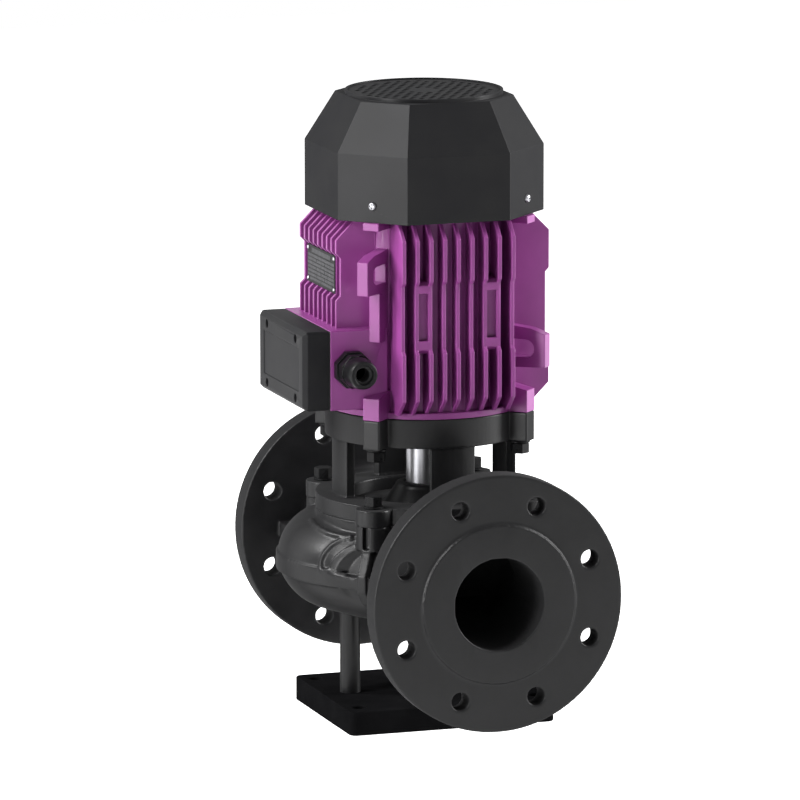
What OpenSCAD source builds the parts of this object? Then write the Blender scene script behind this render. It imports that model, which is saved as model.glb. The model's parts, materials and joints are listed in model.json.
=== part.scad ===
// Vertical inline booster pump with a close-coupled fan-cooled motor.
// Origin: shaft axis at the underside of the base plate. Z up, ports along Y,
// terminal box on the -X side. All sizes in millimetres.

/* [Ports] */
// Height of the port axis above the floor
port_h = 120; // [112:1:140]
// Distance between the two gasket faces
face_to_face = 360; // [340:1:400]
// Bore of both ports
port_bore = 72; // [62:1:76]
// Metal round the port bore
neck_wall = 7; // [5:0.5:9]
// Outside diameter of the flanges
flange_d = 200; // [190:1:210]
// Thickness of the flange plate
flange_t = 19.5; // [14:0.5:24]
// Diameter of the raised gasket face
raised_d = 123; // [110:1:138]
// Height of the raised gasket face
raised_t = 2.5; // [1:0.5:4]
// Pitch circle of the flange holes
flange_pcd = 160; // [158:1:170]
// Number of holes in each flange
flange_holes = 8; // [4:4:8]
// Diameter of the flange holes
flange_hole_d = 14; // [12:0.5:18]

/* [Base] */
// Width of the base plate across the ports
base_w = 168; // [150:1:200]
// Length of the base plate along the ports
base_l = 144; // [130:1:180]
// Thickness of the base plate
base_t = 19; // [14:1:24]
// Corner radius of the base plate
base_corner = 6; // [3:1:12]
// Distance of the foundation holes from the plate's edges in X
base_edge_x = 12; // [10:1:16]
// Distance of the foundation holes from the plate's edges in Y
base_edge_y = 17; // [10:1:22]
// Diameter of the foundation holes
base_hole_d = 11; // [9:0.5:14]
// Distance from the shaft axis to each leg
leg_x = 61; // [54:1:64]
// Diameter of the legs
leg_d = 16; // [14:1:18]

/* [Volute casing] */
// Radius of the scroll's centre circle
scroll_r = 65; // [63:1:67]
// Outer radius of the scroll's rounded section
scroll_tube = 36; // [34:0.5:38]
// Inner radius of the scroll's passage
scroll_bore = 19; // [16:0.5:20]
// How far the scroll's circle is shifted from the shaft
scroll_shift = 16; // [12:0.5:18]
// Direction of that shift
scroll_dir = 130; // [120:1:140]
// Radius of the machined rim that carries the bracket
rim_r = 85; // [82:0.5:88]
// Height of the rim's top above the port axis
rim_h = 44; // [42:0.5:50]
// Radius of the flat web round the casing's middle
web_r = 107; // [104:1:110]
// Thickness of that web
web_t = 10; // [6:0.5:13]
// Depth of the casing below the port axis
bowl_depth = 36; // [34:0.5:38]

/* [Bracket] */
// Pitch circle of the four casing bolts
cover_pcd = 176; // [172:1:180]
// Radius of the lugs round the casing bolts
lug_r = 13.5; // [12:0.5:15]
// Thickness of the bracket's lower ring
ring_t = 13; // [10:0.5:16]
// Radius of the hole in the lower ring
ring_bore_r = 58; // [54:0.5:60]
// Height of the open windows
column_h = 46; // [42:1:60]
// Outer radius of the columns
column_r = 72; // [70:0.5:74]
// Thickness of the columns
column_t = 8; // [6:0.5:10]
// Angle that each column takes up
column_angle = 29.5; // [24:0.5:34]
// Radius of the bracket's head
head_r = 77.5; // [76:0.5:80]
// Thickness of the bracket's head
head_t = 23; // [18:0.5:28]
// Outer distance of the four ears
ear_r = 92.3; // [90:0.1:95]
// Width of the ears
ear_w = 14; // [13.5:0.5:18]
// Pitch circle of the motor bolts
motor_pcd = 166; // [164:1:168]

/* [Motor housing] */
// Height of the finned housing
housing_h = 154; // [150:1:180]
// Outer radius of the round core
core_r = 72; // [71:0.5:74]
// Wall of the round core
core_wall = 5.5; // [4.5:0.5:6]
// Tip distance of the front and rear fins
fin_tip_y = 84.5; // [82:0.5:88]
// Tip distance of the side fins
fin_tip_x = 87; // [85:0.5:90]
// Number of fins on each side
fin_count = 9; // [7:2:9]
// Distance between fins
fin_pitch = 11.1; // [10.5:0.1:11.4]
// Thickness of the fins
fin_t = 3; // [2:0.25:4]
// Depth of the step in the middle of the fins
fin_step = 3; // [1:0.5:4]
// Outer distance of the lifting lugs
lift_r = 106.5; // [104:0.5:110]
// Thickness of the lifting lugs
lift_t = 9.3; // [7:0.1:12]
// Height of the lifting lugs
lift_h = 28; // [24:0.5:32]

/* [Terminal box] */
// Half width of the terminal box
box_half = 57.5; // [54:0.5:60]
// Height of the terminal box
box_h = 62; // [56:1:64]
// Distance of the box's rim from the shaft axis
box_x = 95.2; // [92:0.1:98]
// Wall of the box
box_wall = 6; // [5:0.5:8]
// Depth of the cover
lid_depth = 20.8; // [16:0.1:26]
// Wall of the cover
lid_wall = 3; // [2:0.5:4]
// Bevel round the cover's face
lid_bevel = 3.5; // [2:0.5:5]
// Octagon of the cable gland's base, across flats
gland_af = 28; // [26:0.5:30]
// Octagon of the gland's cap, across flats
gland_grip_af = 25.5; // [24.5:0.5:26.5]
// Length of the gland's cap
gland_cap_l = 25.5; // [20:0.5:30]
// Hole in the gland's cap
gland_hole_d = 15; // [12:0.5:17]
// Bore of the gland's seal
cable_d = 11; // [8:0.5:11.5]

/* [Fan cowl] */
// Distance from the axis to the wide facets
cowl_flat = 84; // [82:0.5:86]
// Half width of the wide facets
cowl_half = 41.5; // [39:0.5:44]
// Height of the upright skirt
skirt_h = 52; // [48:1:60]
// Height of the sloping part
slope_h = 38; // [34:1:46]
// Distance from the axis to the wide facets at the top
top_flat = 62; // [61:0.5:65]
// Half width of the wide facets at the top
top_half = 32.5; // [31:0.5:34]
// Sheet thickness of the cowl
cowl_t = 1.8; // [1.2:0.2:2.4]
// Outer radius of the round rim on the top
lip_r = 61.5; // [60:0.5:61.8]
// Height of that rim
lip_h = 3; // [2.5:0.5:5]
// Diameter of the air holes
air_hole_d = 5.2; // [4:0.2:6]
// Distance between air holes
air_pitch = 8.2; // [7.6:0.2:10]

/* [Rotating parts] */
// Diameter of the impeller
impeller_d = 120; // [104:1:122]
// Width of the impeller's outlet
outlet_w = 12; // [9:0.5:13]
// Number of vanes
vanes = 6; // [5:1:7]
// Thickness of the vanes
vane_t = 3.5; // [2.5:0.5:5]
// Diameter of the shaft seen between the columns
shaft_d = 28; // [25:0.5:28]
// Diameter of the shaft in the impeller
tail_d = 20; // [18:0.5:22]
// Diameter of the cooling fan
fan_d = 136; // [120:1:140]
// Number of fan blades
fan_blades = 8; // [6:1:12]

/* [Hidden] */

$fn = 64;
eps = 0.01;
slip = 0.1;           // radial clearance of turned fits
diagonals = [45, 135, 225, 315];

// Colours
cast_black = [0.18, 0.18, 0.19];
motor_purple = [0.62, 0.33, 0.58];
sheet_black = [0.16, 0.16, 0.17];
moulded_black = [0.2, 0.2, 0.21];
bright_steel = [0.78, 0.78, 0.8];
bolt_black = [0.12, 0.12, 0.13];
copper = [0.72, 0.42, 0.22];

// Heights, from the floor up
casing_bottom = port_h - bowl_depth;
split_z = port_h + rim_h;
ring_top = split_z + ring_t;
head_bottom = ring_top + column_h;
head_top = head_bottom + head_t;
housing_top = head_top + housing_h;
cowl_shoulder = housing_top + skirt_h;
cowl_top = cowl_shoulder + slope_h;

// Ports
half_length = face_to_face / 2;
neck_r = port_bore / 2 + neck_wall;
plate_out = half_length - raised_t;
plate_in = plate_out - flange_t;
neck_fillet = 9;
web_half = 68;
band_proud = 1.5;
band_t = web_t + 4;

// Casing section
scroll_z = port_h + 4;
bowl_r = 62;
bowl_tube = bowl_depth + 1;
body_ring_r = 66;
body_tube = 33;
arch_normal = [0.41, 0.91];
arch_turn = atan2(arch_normal[1], arch_normal[0]);
arch_point = [-66, -61.5];
arch_bead = 2;
arch_w = 4;
rib_t = 8;
groove_w = 5.5;
rear_hole_d = flange_hole_d + 0.4;    // drilled in a second setting
far = 300;                            // reaches past the whole casing

// Fasteners: M8 for the casing, bracket and legs
m8_r = 4;
m8_hole_r = 4.5;
m8_af = 13;
m8_head = 6.5;
washer_r = 8;
washer_t = 1.6;
bolt_grip = 14;
leg_stud_r = 5;
leg_stud_l = 11;
leg_screw_head_r = 6.5;
leg_screw_head = 8;
leg_screw_sink = 9;

// Wet end
impeller_r = impeller_d / 2;
chamber_r = impeller_r + 3;
cover_bore_r = chamber_r + 3;
cover_seat_r = rim_r - 10.8;
gasket_t = 1;
cover_flange_t = 8;
cover_floor = split_z - cover_flange_t - 6;
eye_r = 23.5;
eye_wall = 3.5;
wear_gap = 0.3;
wear_t = 5.7;
wear_seat_r = eye_r + eye_wall + 6;
chamber_floor = port_h - 6;
diaphragm_t = 7;
passage_half = 24;
passage_floor = casing_bottom + 7;
passage_end_r = 34;
mouth_y = chamber_r + 50;
scroll_bore_z = port_h + 8;
throat_x = -20;
shroud_t = 4;
back_top = cover_floor - 9;
back_bottom = back_top - shroud_t;
front_outer = back_bottom - outlet_w;
front_inner = chamber_floor + 3;
front_t = 3;
hub_r = 18;
hub_bottom = chamber_floor + 2;
shaft_tip = hub_bottom - 16;
nut_h = 8;
nut_af = 19;
thread_r = 6;
key_w = 5;

// Shaft seal and cover hub
shaft_r = shaft_d / 2;
seal_r = 21;
hub_top = ring_top + 7;
hub_top_r = 22.5;
hub_foot_r = 32;
hub_edge = 3;
cover_plate_t = 3;
seal_roof = hub_top - 10;
seat_t = 6;
head_ring_t = 8;
fold_r = 1.6;

// Motor inside
bearing_low_r = shaft_r + 1;
bearing_low_out = bearing_low_r + 16;
bearing_low_w = 16;
bearing_up_r = 10;
bearing_up_out = 23.5;
bearing_up_w = 14;
shield_t = 10;
shield_r = core_r - 2.1;
spigot_r = 40;
spigot_l = 8;
shield_hub_wall = 7;
bearing_low_z = head_top + 6;
stator_low_gap = 39;
stator_high_gap = 35;
stator_bottom = head_top + stator_low_gap;
stator_top = housing_top - stator_high_gap;
stator_bore_r = 40;
air_gap = 0.5;
winding_h = 15;
winding_in = 45;
winding_out = 63;
winding_round = 5;
end_ring_h = 7;
rotor_seat_r = shaft_r + 3;
core_bore_r = core_r - core_wall;
fan_shield_t = 6;
fan_shield_spigot = 6;
bearing_up_z = housing_top - 2 - bearing_up_w;
fan_seat_r = 8;
cowl_boss_h = 18;
screw_z = housing_top + 13;

// Motor housing
foot_ring_h = 5;
fin_root_z = head_top + 4;
step_low = head_top + 56;
step_high = head_top + 106;
ear_h = 17.5;
ear_top_rise = 5;
upper_ear_h = 6;
upper_ear_w = 13.5;
pad_face = fin_tip_y - fin_step;
pad_slot_w = 8.3;
pad_slot_low = head_top + 63;
pad_slot_high = head_top + 100;
pad_slot_depth = 4;
lift_high_z = housing_top - 40.5;
lift_low_z = head_top + 50;
eye_half = 7;
eye_in = 76;
eye_out = 97;
lift_rib_t = 4.6;

// Terminal box and nameplate
box_bottom = head_top + 8.5;
box_top = box_bottom + box_h;
box_mid = box_bottom + box_h / 2;
box_floor_r = core_r + 4;
box_root = 49;
box_gasket_t = 1;
lid_x = box_x + box_gasket_t;
lid_face = lid_x + lid_depth;
lid_screw_side = 21.5;
lid_screw_edge = 7.8;
lid_screw_y = box_half - lid_screw_side;
lid_screw_z = box_h / 2 - lid_screw_edge;
lid_screw_r = 2;
lid_screw_head_r = 2.8;
lid_screw_head = 3.5;
lid_screw_grip = 8;
lid_boss_r = 5;
lid_recess_r = 3.3;
lid_recess = 6;
label_side = 13.5;
label_edge = 14;
label_half_y = box_half - label_side;
label_half_z = box_h / 2 - label_edge;
label_sink = 0.6;
board_t = 3;
board_gap = 2;
stud_r = 2.5;
stud_pitch = 14;
gland_x = 78.5;
gland_z = box_mid + 1;
gland_thread_r = 9.9;
gland_flange_t = 7;
gland_spigot_r = 10;
gland_spigot_l = 14;
gland_grip_l = 9;
gland_dome_r = 12.2;
gland_mouth_r = 10;
seal_lip = 2;
plate_half = 34;
plate_low = housing_top - 58.5;
plate_high = housing_top - 29;
plate_t = 0.8;
plate_seat = fin_tip_x - 3.7;
rivet_head_r = 1.9;
rivet_r = 1;

// Air grille
grille_t = 1.8;
grille_r = lip_r - 2.2;
air_opening_r = lip_r - 5.5;
solid_centre_r = 13;

// A cylinder lying along Y, centred on x and z, from y0 to y1
module rod_y(x, z, y0, y1, r) {
  translate([x, y0, z]) rotate([-90, 0, 0]) cylinder(r = r, h = y1 - y0);
}

// A cylinder lying along X, centred on y and z, from x0 to x1
module rod_x(y, z, x0, x1, r) {
  translate([x0, y, z]) rotate([0, 90, 0]) cylinder(r = r, h = x1 - x0);
}

// A plain ring
module ring(z, h, outer, inner) {
  translate([0, 0, z]) difference() {
    cylinder(r = outer, h = h);
    translate([0, 0, -eps]) cylinder(r = inner, h = h + 2 * eps);
  }
}

// Children repeated at the four diagonals, at radius r
module at_diagonals(r) {
  for (a = diagonals) rotate([0, 0, a]) translate([r, 0, 0]) children();
}

// A radial plate whose outline is given as radius and height
module radial_plate(outline, t) {
  translate([0, t / 2, 0]) rotate([90, 0, 0]) linear_extrude(t) polygon(outline);
}

// A rectangle with round corners
module round_rect(w, l, r) {
  square([w - 2 * r, l], center = true);
  square([w, l - 2 * r], center = true);
  for (x = [-1, 1], y = [-1, 1]) translate([x * (w / 2 - r), y * (l / 2 - r)]) circle(r);
}

// Hexagon head standing on z = 0
module hex_head(af, h) {
  cylinder(r = af / sqrt(3), h = h, $fn = 6);
}

// Children repeated on the axes of the terminal cover's screws
module lid_screw_places() for (y = [-1, 1], z = [-1, 1])
  translate([0, y * lid_screw_y, box_mid + z * lid_screw_z]) children();

module base_plate() color(cast_black) difference() {
  linear_extrude(base_t) round_rect(base_w, base_l, base_corner);
  for (x = [-1, 1], y = [-1, 1])
    translate([x * (base_w / 2 - base_edge_x), y * (base_l / 2 - base_edge_y), -eps])
      cylinder(d = base_hole_d, h = base_t + 2 * eps);
  for (x = [-leg_x, leg_x]) translate([x, 0, -eps]) {
    cylinder(r = m8_hole_r, h = base_t + 2 * eps);
    cylinder(r = leg_screw_head_r + 0.5, h = leg_screw_sink + eps);
  }
}

module support_legs() color(cast_black) for (x = [-leg_x, leg_x]) difference() {
  translate([x, 0, base_t]) union() {
    cylinder(d = leg_d, h = casing_bottom - base_t);
    cylinder(r = leg_stud_r, h = casing_bottom - base_t + leg_stud_l);
  }
  translate([x, 0, base_t - eps]) cylinder(r = m8_r + slip, h = bolt_grip + 2);
}

module leg_screws() color(bolt_black) for (x = [-leg_x, leg_x]) difference() {
  translate([x, 0, leg_screw_sink - leg_screw_head]) union() {
    cylinder(r = leg_screw_head_r, h = leg_screw_head);
    cylinder(r = m8_r, h = leg_screw_head + base_t - leg_screw_sink + bolt_grip);
  }
  translate([x, 0, leg_screw_sink - leg_screw_head - eps]) hex_head(6, 4);
}

// The round body that is centred on the shaft
module casing_body() rotate_extrude($fn = 96) {
  intersection() {
    union() {
      translate([body_ring_r, scroll_z]) circle(body_tube);
      translate([bowl_r, casing_bottom + bowl_tube]) circle(bowl_tube);
      translate([rim_r + 1.5, split_z - 12]) circle(2.6);
    }
    translate([0, casing_bottom]) square([web_r + scroll_tube, split_z - casing_bottom]);
  }
  translate([0, casing_bottom]) square([bowl_r, split_z - casing_bottom]);
  translate([0, split_z - 16]) square([rim_r, 16]);
  translate([0, port_h - web_t / 2]) square([web_r, web_t]);
}

// Moves its children to the centre of the spiral chamber
module shifted() translate([scroll_shift * cos(scroll_dir), scroll_shift * sin(scroll_dir), 0]) children();

// The spiral chamber's outside: a larger ring shifted off the shaft axis
module scroll_shell(tube) shifted() rotate_extrude($fn = 96) {
  translate([scroll_r, scroll_z]) circle(tube);
  translate([0, port_h - band_t / 2 + 1]) square([scroll_r + tube + band_proud, band_t]);
}

module scroll_bowl() shifted() rotate_extrude($fn = 96)
  translate([scroll_r, port_h]) circle(scroll_tube - 2.5);

// Half space behind the arch where the spiral chamber begins
module behind_arch(back) {
  translate([arch_point[0], arch_point[1], 0]) rotate([0, 0, arch_turn])
    translate([back, -far, 0]) cube([2 * far, 2 * far, split_z - 2]);
}

module casing_necks() for (side = [-1, 1]) {
  intersection() {
    rod_y(0, port_h, side > 0 ? 0 : -plate_in - eps, side > 0 ? plate_in + eps : 0, neck_r);
    translate([-far, -far, 0]) cube([2 * far, 2 * far, split_z - 1]);
  }
  translate([0, side * plate_in, port_h]) rotate([side * 90, 0, 0]) rotate_extrude()
    translate([neck_r - 2, -1]) difference() {
      square([neck_fillet + 2, neck_fillet + 1]);
      translate([neck_fillet + 2, neck_fillet + 1]) circle(neck_fillet);
    }
  rod_y(0, port_h, side > 0 ? plate_in : -plate_out, side > 0 ? plate_out : -plate_in, flange_d / 2);
  rod_y(0, port_h, side > 0 ? plate_in : -half_length, side > 0 ? half_length : -plate_in, raised_d / 2);
}

module casing_lugs() at_diagonals(0) {
  translate([cover_pcd / 2, 0, split_z - 19]) cylinder(r = lug_r, h = 19);
  radial_plate([[bowl_r, port_h - 20], [web_r - 19, port_h - 25], [web_r - 6, port_h - 17],
    [web_r + 2, port_h - 7], [web_r + 2, port_h + 7], [web_r - 5, port_h + 20],
    [web_r - 7, split_z - 17], [bowl_r, split_z - 17]], rib_t);
}

module casing_hollows() {
  duct_h = chamber_floor - diaphragm_t - passage_floor;
  // ports
  rod_y(0, port_h, -half_length - 1, -mouth_y, port_bore / 2);
  rod_y(0, port_h, mouth_y, half_length + 1, port_bore / 2);
  // suction passage, dropping under the impeller
  hull() {
    rod_y(0, port_h, -mouth_y - eps, -mouth_y, port_bore / 2 - eps, $fn = 32);
    translate([-passage_half, -chamber_r - 20, passage_floor]) cube([2 * passage_half, 1, duct_h]);
  }
  translate([-passage_half, -chamber_r - 20, passage_floor])
    cube([2 * passage_half, chamber_r + 20, duct_h]);
  translate([0, 0, passage_floor]) cylinder(r = passage_end_r, h = duct_h);
  translate([0, 0, chamber_floor - diaphragm_t - eps]) cylinder(r = wear_seat_r, h = diaphragm_t + 1);
  // impeller space and scroll
  translate([0, 0, chamber_floor]) cylinder(r = chamber_r, h = split_z - chamber_floor);
  shifted() rotate_extrude($fn = 96) translate([scroll_r, scroll_bore_z]) circle(scroll_bore);
  // discharge passage
  hull() {
    rod_y(0, port_h, mouth_y, mouth_y + eps, port_bore / 2 - eps, $fn = 32);
    rod_y(throat_x, scroll_bore_z, chamber_r + 8, chamber_r + 9, scroll_bore - 2, $fn = 32);
  }
  // seat of the cover
  translate([0, 0, cover_floor]) cylinder(r = cover_bore_r, h = far);
  translate([0, 0, split_z - cover_flange_t - gasket_t]) cylinder(r = cover_seat_r, h = far);
}

module volute_casing() color(cast_black) difference() {
  union() {
    casing_body();
    intersection() {
      scroll_shell(scroll_tube);
      behind_arch(0);
    }
    intersection() {
      scroll_shell(scroll_tube + arch_bead);
      behind_arch(-arch_w / 2);
      translate([-far, -far, port_h + 7]) cube([far, 2 * far, far]);
      rotate([0, 0, arch_turn])
        translate([arch_point * arch_normal - arch_w, -far, 0]) cube([arch_w * 1.5, 2 * far, split_z - 4]);
    }
    scroll_bowl();
    casing_necks();
    casing_lugs();
    translate([-web_half, -plate_in - eps, port_h - web_t / 2])
      cube([2 * web_half, 2 * plate_in + 2 * eps, web_t]);
    for (x = [-leg_x, leg_x]) translate([x, 0, casing_bottom]) cylinder(d = leg_d + 2, h = 16);
  }
  casing_hollows();
  for (side = [-1, 1], i = [0 : flange_holes - 1])
    translate([0, side * half_length, port_h]) rotate([0, (i + 0.5) * 360 / flange_holes, 0])
      rod_y(flange_pcd / 2, 0, -flange_t - raised_t - 1, flange_t + raised_t + 1,
        (side > 0 ? rear_hole_d : flange_hole_d) / 2);
  at_diagonals(cover_pcd / 2) {
    translate([0, 0, split_z - bolt_grip - 1]) cylinder(r = m8_r + slip, h = bolt_grip + 2);
    translate([lug_r - 5, -groove_w / 2, split_z - 18]) cube([10, groove_w, 20]);
  }
  for (x = [-leg_x, leg_x]) translate([x, 0, casing_bottom - eps])
    cylinder(r = leg_stud_r + slip, h = leg_stud_l + 1);
}

module wear_ring() color(bright_steel)
  ring(chamber_floor - wear_t, wear_t, wear_seat_r - slip / 2, eye_r + eye_wall + wear_gap);

module cover_gasket() color("dimgray")
  ring(split_z - cover_flange_t - gasket_t, gasket_t, cover_seat_r - 0.2, cover_bore_r + 0.2);

module casing_cover() color(cast_black) difference() {
  union() {
    translate([0, 0, cover_floor]) cylinder(r = cover_bore_r - slip, h = cover_flange_t + 6);
    translate([0, 0, split_z - cover_flange_t]) cylinder(r = cover_seat_r - slip, h = cover_flange_t);
    translate([0, 0, split_z - eps]) cylinder(r = ring_bore_r - slip, h = cover_plate_t + eps);
    rotate_extrude() union() {
      polygon([[0, split_z + 1], [hub_foot_r, split_z + 1], [hub_foot_r, split_z + cover_plate_t],
        [hub_top_r, hub_top - hub_edge], [hub_top_r - hub_edge, hub_top], [0, hub_top]]);
      translate([hub_top_r - hub_edge, hub_top - hub_edge]) circle(hub_edge);
    }
  }
  translate([0, 0, cover_floor - eps]) cylinder(r = seal_r, h = seal_roof - cover_floor + eps);
  translate([0, 0, cover_floor]) cylinder(r = shaft_r + 1, h = hub_top - cover_floor + 1);
}

module seal_seat() color("gainsboro") ring(seal_roof - seat_t, seat_t, seal_r - slip, shaft_r + 0.8);

module lantern() color(cast_black) difference() {
  union() {
    translate([0, 0, split_z]) cylinder(r = rim_r, h = ring_t);
    at_diagonals(cover_pcd / 2) translate([0, 0, split_z]) cylinder(r = lug_r + 0.5, h = ring_t);
    for (a = [0 : 90 : 270]) rotate([0, 0, a - column_angle / 2]) rotate_extrude(angle = column_angle)
      translate([column_r - column_t, split_z + 1]) square([column_t, head_bottom - split_z]);
    translate([0, 0, head_bottom]) cylinder(r = head_r, h = head_t);
    at_diagonals(0) translate([0, -ear_w / 2, head_bottom]) cube([ear_r, ear_w, head_t]);
  }
  translate([0, 0, split_z - eps]) cylinder(r = ring_bore_r, h = ring_t + 2 * eps);
  translate([0, 0, head_bottom - eps]) cylinder(r = spigot_r, h = head_t + 2 * eps);
  at_diagonals(cover_pcd / 2) translate([0, 0, split_z - eps]) cylinder(r = m8_hole_r, h = ring_t + 1);
  at_diagonals(motor_pcd / 2) translate([0, 0, head_bottom - eps]) cylinder(r = m8_hole_r, h = head_t + 1);
}

module cover_bolts() color(bolt_black) at_diagonals(cover_pcd / 2) {
  translate([0, 0, ring_top + washer_t]) hex_head(m8_af, m8_head);
  translate([0, 0, split_z - bolt_grip]) cylinder(r = m8_r, h = bolt_grip + ring_t + washer_t + 1);
}

module cover_washers() color(bolt_black) at_diagonals(cover_pcd / 2)
  ring(ring_top, washer_t, washer_r, m8_r + slip);

module motor_bolts() color(bolt_black) at_diagonals(motor_pcd / 2) {
  translate([0, 0, head_bottom - washer_t - m8_head]) hex_head(m8_af, m8_head);
  translate([0, 0, head_bottom - washer_t - 1]) cylinder(r = m8_r, h = washer_t + 1 + head_t + bolt_grip - 4);
}

module motor_washers() color(bolt_black) at_diagonals(motor_pcd / 2)
  ring(head_bottom - washer_t, washer_t, washer_r, m8_r + slip);

// One fin, its outline given as distance from the axis and height
module fin(tip, low, high) radial_plate([[core_r - 25, fin_root_z], [core_r, fin_root_z],
  [tip, fin_root_z + tip - core_r], [tip, low - fin_step], [tip - fin_step, low],
  [tip - fin_step, high], [tip, high + fin_step], [tip, housing_top - (tip - core_r)],
  [core_r, housing_top], [core_r - 25, housing_top]], fin_t);

// A fin above the terminal box, stepped back under the nameplate
module short_fin() radial_plate([[core_r - 25, box_top - 5], [fin_tip_x, box_top - 5],
  [fin_tip_x, plate_low - 3.7], [plate_seat, plate_low], [plate_seat, plate_high],
  [fin_tip_x, plate_high + 3.7], [fin_tip_x, housing_top - (fin_tip_x - core_r)],
  [core_r, housing_top], [core_r - 25, housing_top]], fin_t);

module housing_fins() {
  rows = [for (i = [0 : fin_count - 1]) (i - (fin_count - 1) / 2) * fin_pitch];
  for (s = rows) {
    rotate([0, 0, -90]) translate([0, s, 0]) fin(fin_tip_y, step_low, step_high);
    rotate([0, 0, 90]) translate([0, s, 0]) fin(fin_tip_y, step_low, step_high);
    translate([0, s, 0]) fin(fin_tip_x, step_low, step_high);
    rotate([0, 0, 180]) translate([0, s, 0]) short_fin();
  }
}

// Solid pads between the second and third fins from each edge, with a slot in their face
module foot_pads() for (face = [-90, 90], side = [-1, 1]) rotate([0, 0, face])
  translate([0, side * fin_pitch * ((fin_count - 1) / 2 - 1.5), 0]) difference() {
    radial_plate([[core_r - 15, step_low - 3], [pad_face - 3, step_low - 3], [pad_face, step_low],
      [pad_face, step_high], [pad_face - 3, step_high + 3], [core_r - 15, step_high + 3]],
      fin_pitch + fin_t);
    translate([pad_face - pad_slot_depth, -pad_slot_w / 2, pad_slot_low])
      cube([pad_slot_depth + 5, pad_slot_w, pad_slot_high - pad_slot_low]);
  }

module lifting_lug(z) difference() {
  translate([0, 0, z]) radial_plate([[core_r - 8, -lift_h / 2 - 2], [lift_r, -lift_h / 2],
    [lift_r, lift_h / 2 - 2], [lift_r - 12, lift_h / 2 + 2], [core_r - 8, lift_h / 2 + 5]], lift_t);
  translate([0, lift_t, z]) rotate([90, 0, 0]) linear_extrude(2 * lift_t) {
    translate([eye_in, -eye_half]) square([eye_out - eye_half - eye_in, 2 * eye_half]);
    translate([eye_out - eye_half, 0]) circle(eye_half);
  }
}

module housing_ears() at_diagonals(0) {
  ear_root = core_r - 3;
  radial_plate([[ear_root, head_top], [ear_r, head_top], [ear_r, head_top + ear_h],
    [ear_root, head_top + ear_h + ear_top_rise]], ear_w);
  radial_plate([[ear_root, housing_top - upper_ear_h], [ear_r, housing_top - upper_ear_h],
    [ear_r, housing_top], [ear_root, housing_top]], upper_ear_w);
}

module motor_housing() color(motor_purple) difference() {
  union() {
    translate([0, 0, head_top]) cylinder(r = core_r, h = housing_h);
    translate([0, 0, head_top]) cylinder(r = head_r, h = foot_ring_h);
    housing_ears();
    housing_fins();
    foot_pads();
    for (a = [45, 225]) rotate([0, 0, a]) {
      lifting_lug(lift_high_z);
      radial_plate([[core_r - 8, box_top - 10], [core_r + 14, box_top - 10], [core_r + 24, lift_high_z - 10],
        [core_r - 8, lift_high_z - 10]], lift_rib_t);
    }
    rotate([0, 0, 315]) lifting_lug(lift_low_z);
    translate([-box_x, -box_half, box_bottom]) cube([box_x - box_root, 2 * box_half, box_h]);
  }
  // bore for the stator, seats of both shields
  translate([0, 0, head_top - eps]) cylinder(r = core_bore_r, h = housing_h + 1);
  translate([0, 0, head_top - eps]) cylinder(r = shield_r + slip, h = shield_t + eps);
  // terminal box hollow and the lead hole into the motor
  difference() {
    translate([-box_x - 1, -box_half + box_wall, box_bottom + box_wall])
      cube([box_x - box_root - 1, 2 * (box_half - box_wall), box_h - 2 * box_wall]);
    translate([0, 0, box_bottom]) cylinder(r = box_floor_r, h = box_h);
    lid_screw_places() rod_x(0, 0, -box_x - 2, -box_root, lid_boss_r);
  }
  rod_x(0, box_bottom + box_wall + 8, -box_x, -core_bore_r + 5, 6);
  // gland, cover screws
  rod_y(-gland_x, gland_z, -box_half - 1, -box_half + box_wall + 1, gland_thread_r + slip);
  lid_screw_places() rod_x(0, 0, -box_x - 1, -box_x + lid_screw_grip + 1, lid_screw_r + slip);
  at_diagonals(motor_pcd / 2) translate([0, 0, head_top - eps]) cylinder(r = m8_r + slip, h = bolt_grip - 3);
  at_diagonals(core_r + 4) translate([0, 0, housing_top - 5]) cylinder(r = 2.6, h = 10);
}

module drive_end_shield() color(motor_purple) difference() {
  union() {
    translate([0, 0, head_top - spigot_l]) cylinder(r = spigot_r - slip, h = spigot_l + eps);
    translate([0, 0, head_top]) cylinder(r = shield_r, h = shield_t);
    translate([0, 0, head_top]) cylinder(r = bearing_low_out + shield_hub_wall, h = 6 + bearing_low_w);
  }
  translate([0, 0, head_top - spigot_l - eps]) cylinder(r = shaft_r + 1, h = far);
  translate([0, 0, bearing_low_z]) cylinder(r = bearing_low_out, h = far);
}

module fan_end_shield() color(motor_purple) difference() {
  union() {
    translate([0, 0, housing_top]) cylinder(r = core_r, h = fan_shield_t);
    translate([0, 0, housing_top - fan_shield_spigot])
      cylinder(r = core_bore_r - slip, h = fan_shield_spigot + eps);
    translate([0, 0, bearing_up_z]) cylinder(r = bearing_up_out + shield_hub_wall, h = 20);
    at_diagonals(0) {
      translate([core_r - 12, -upper_ear_w / 2, housing_top]) cube([20, upper_ear_w, fan_shield_t]);
      translate([core_r + 8, -upper_ear_w / 2, housing_top])
        cube([cowl_diagonal - cowl_t - core_r - 8 - slip, upper_ear_w, cowl_boss_h]);
    }
  }
  translate([0, 0, bearing_up_z - eps]) cylinder(r = bearing_up_out, h = bearing_up_w + eps);
  translate([0, 0, bearing_up_z]) cylinder(r = fan_seat_r + 1.5, h = 60);
  ring(housing_top - fan_shield_spigot - eps, fan_shield_spigot - 2, core_bore_r - 6, bearing_up_out + 12);
  at_diagonals(core_r + 4) translate([0, 0, housing_top - 1]) cylinder(r = 2.75, h = 30);
  at_diagonals(0) rod_x(0, screw_z, core_r + 5, 2 * core_r, lid_screw_r + 0.6);
}

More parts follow.
